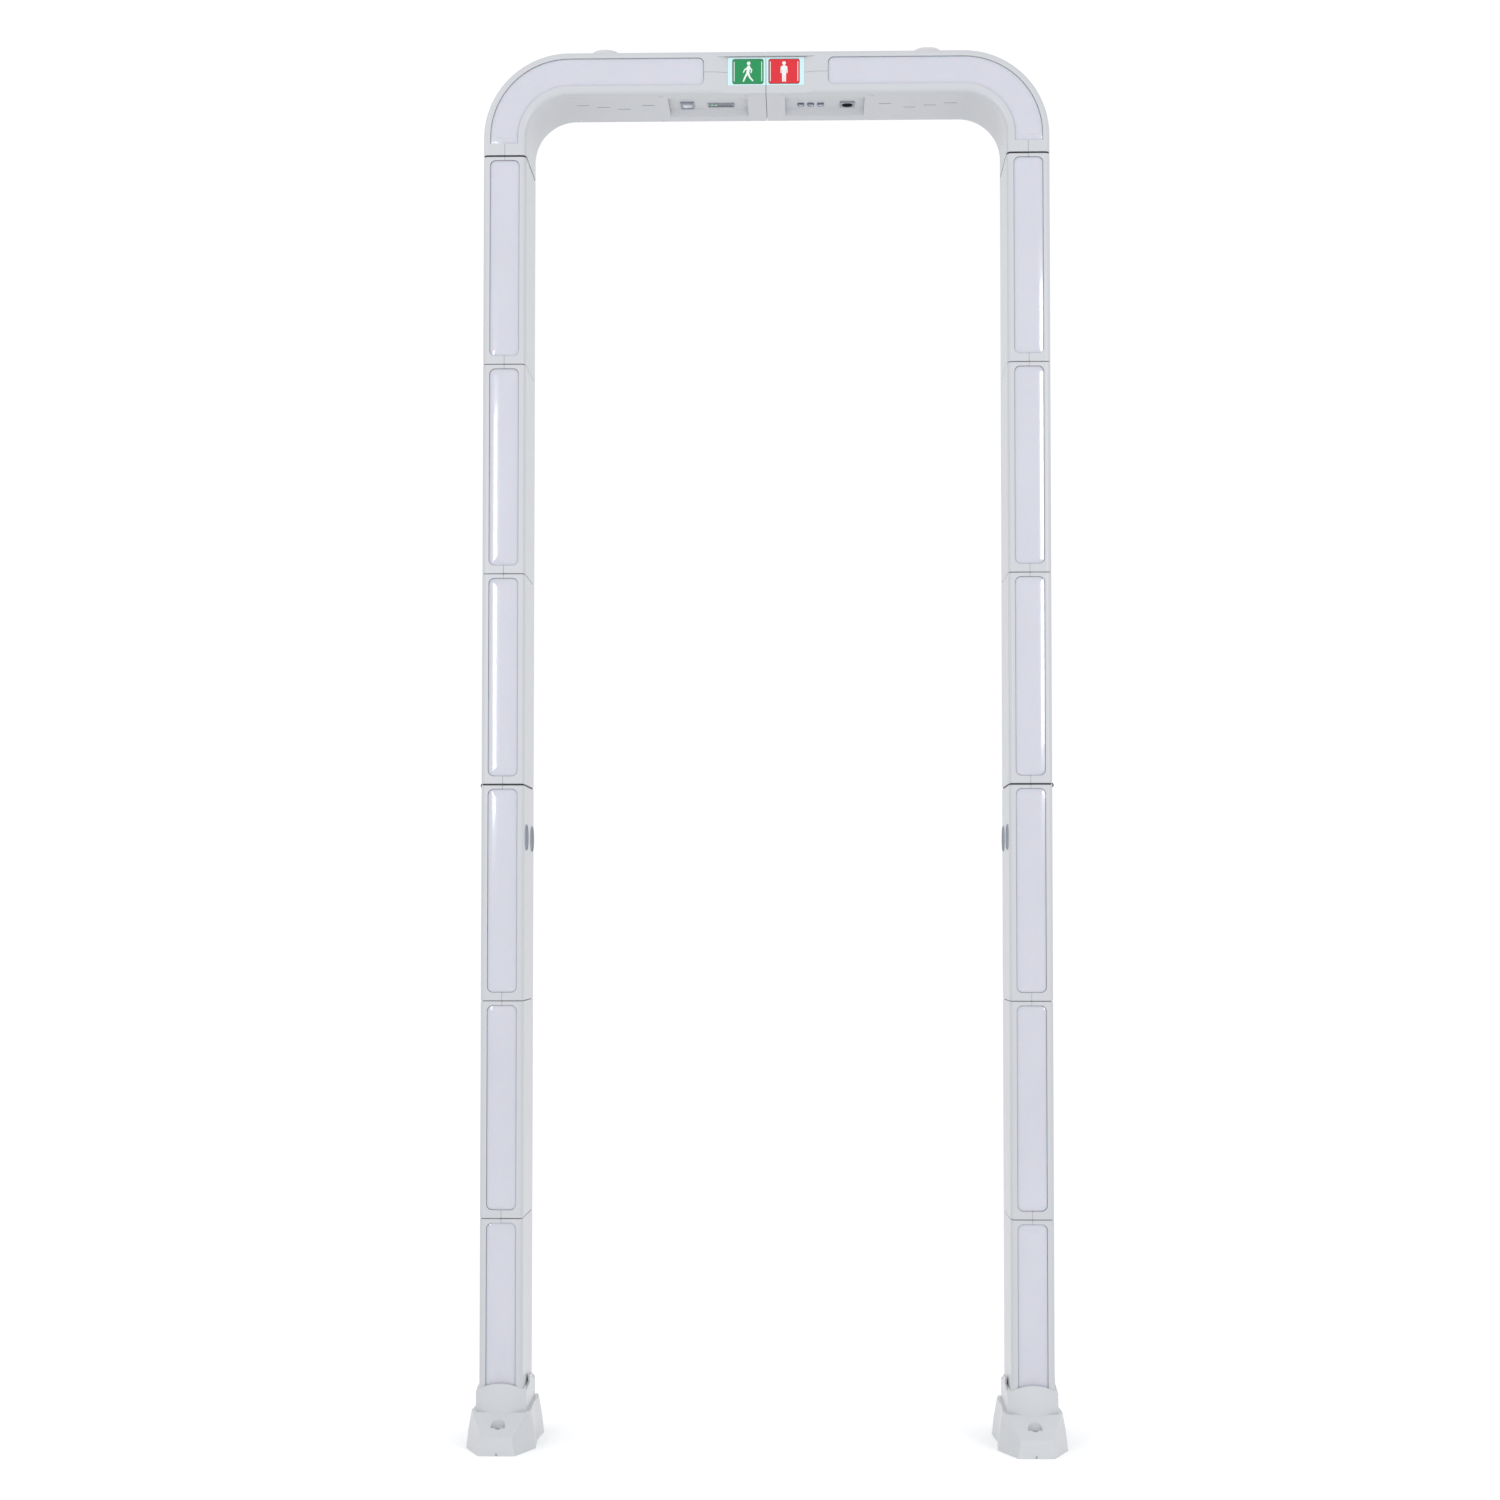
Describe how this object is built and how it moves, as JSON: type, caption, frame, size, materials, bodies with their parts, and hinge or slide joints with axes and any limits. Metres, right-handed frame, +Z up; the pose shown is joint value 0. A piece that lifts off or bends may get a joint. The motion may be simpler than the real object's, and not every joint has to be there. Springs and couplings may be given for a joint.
{
  "type": "security gate",
  "caption": "Foldable walk-through security gate: an arch of plug-together leg modules with light strips, a walk and wait sign, people sensors and bolt-down feet.",
  "frame": {"origin": "on the floor, under the middle of the passage", "axes": "+Z up, front faces -Y, +X to the right as seen from the front"},
  "size_m": [0.937, 0.236, 2.211],
  "materials": {
    "shell_plastic": "glossy pale grey moulding",
    "milky_lens": "milky lavender diffuser, glossy",
    "dark_plastic": "fine matt",
    "foot_plastic": "satin pale grey moulding",
    "sign_cover": "clear, faintly cyan",
    "sensor_window": "smoked grey-blue window",
    "circuit_board": "green solder mask",
    "copper_winding": "enamelled copper",
    "steel": "zinc plated"
  },
  "bodies": {
    "top_left": {"corner_outer_shell_left": "shell_plastic", "corner_inner_shell_left": "shell_plastic", "corner_lenses_left": "milky_lens", "corner_led_boards_left": "circuit_board", "corner_bulkhead_left": "dark_plastic", "sign_window_left": "sign_cover", "top_cap_left": "shell_plastic", "underside_screws_left": "steel", "centre_hinge_leaf_left": "steel", "centre_hinge_pin": "steel", "rocker_bezel": "dark_plastic", "status_display": "dark_plastic", "control_board": "circuit_board"},
    "upper_leg_left": {"upper_outer_shells_left": "shell_plastic", "upper_inner_shells_left": "shell_plastic", "upper_lenses_left": "milky_lens", "upper_led_boards_left": "circuit_board", "upper_coil_windings_left": "copper_winding", "upper_bulkheads_left": "dark_plastic", "fold_pin_left": "steel"},
    "lower_leg_left": {"lower_outer_shells_left": "shell_plastic", "lower_inner_shells_left": "shell_plastic", "lower_lenses_left": "milky_lens", "lower_led_boards_left": "circuit_board", "lower_coil_windings_left": "copper_winding", "lower_bulkhead_left": "dark_plastic", "people_sensors_left": "sensor_window", "foot_left": "foot_plastic"},
    "release_button_left": {"release_button_left": "dark_plastic"},
    "top_right": {"corner_outer_shell_right": "shell_plastic", "corner_inner_shell_right": "shell_plastic", "corner_lenses_right": "milky_lens", "corner_led_boards_right": "circuit_board", "corner_bulkhead_right": "dark_plastic", "sign_window_right": "sign_cover", "top_cap_right": "shell_plastic", "underside_screws_right": "steel", "centre_hinge_leaf_right": "steel", "power_inlet": "dark_plastic"},
    "upper_leg_right": {"upper_outer_shells_right": "shell_plastic", "upper_inner_shells_right": "shell_plastic", "upper_lenses_right": "milky_lens", "upper_led_boards_right": "circuit_board", "upper_coil_windings_right": "copper_winding", "upper_bulkheads_right": "dark_plastic", "fold_pin_right": "steel"},
    "lower_leg_right": {"lower_outer_shells_right": "shell_plastic", "lower_inner_shells_right": "shell_plastic", "lower_lenses_right": "milky_lens", "lower_led_boards_right": "circuit_board", "lower_coil_windings_right": "copper_winding", "lower_bulkhead_right": "dark_plastic", "people_sensors_right": "sensor_window", "foot_right": "foot_plastic"},
    "release_button_right": {"release_button_right": "dark_plastic"},
    "power_rocker": {"power_rocker": "dark_plastic"},
    "menu_key": {"menu_key": "dark_plastic"},
    "level_key": {"level_key": "dark_plastic"},
    "alarm_key": {"alarm_key": "dark_plastic"}
  },
  "joints": [
    {"name": "centre_fold", "type": "hinge", "parent": "top_left", "child": "top_right", "pos_m": [0, 0.071, 2.166], "axis": [0, 0, 1], "range_deg": [0, 165]},
    {"name": "plug_left", "type": "slide", "parent": "top_left", "child": "upper_leg_left", "axis": [0, 0, -1], "range_m": [0, 0.055]},
    {"name": "leg_fold_left", "type": "hinge", "parent": "upper_leg_left", "child": "lower_leg_left", "pos_m": [-0.449, 0, 1.036], "axis": [0, 1, 0], "range_deg": [0, 177]},
    {"name": "release_press_left", "type": "slide", "parent": "top_left", "child": "release_button_left", "axis": [0, -1, 0], "range_m": [0, 0.0014], "stiffness_N_per_m": 800},
    {"name": "plug_right", "type": "slide", "parent": "top_right", "child": "upper_leg_right", "axis": [0, 0, -1], "range_m": [0, 0.055]},
    {"name": "leg_fold_right", "type": "hinge", "parent": "upper_leg_right", "child": "lower_leg_right", "pos_m": [0.449, 0, 1.036], "axis": [0, -1, 0], "range_deg": [0, 177]},
    {"name": "release_press_right", "type": "slide", "parent": "top_right", "child": "release_button_right", "axis": [0, -1, 0], "range_m": [0, 0.0014], "stiffness_N_per_m": 800},
    {"name": "power_rock", "type": "hinge", "parent": "top_left", "child": "power_rocker", "pos_m": [-0.128, 0.008, 2.144], "axis": [-1, 0, 0], "range_deg": [0, 16]},
    {"name": "menu_press", "type": "slide", "parent": "top_right", "child": "menu_key", "axis": [0, 0, 1], "range_m": [0, 0.0012], "stiffness_N_per_m": 800},
    {"name": "level_press", "type": "slide", "parent": "top_right", "child": "level_key", "axis": [0, 0, 1], "range_m": [0, 0.0012], "stiffness_N_per_m": 800},
    {"name": "alarm_press", "type": "slide", "parent": "top_right", "child": "alarm_key", "axis": [0, 0, 1], "range_m": [0, 0.0012], "stiffness_N_per_m": 800}
  ]
}
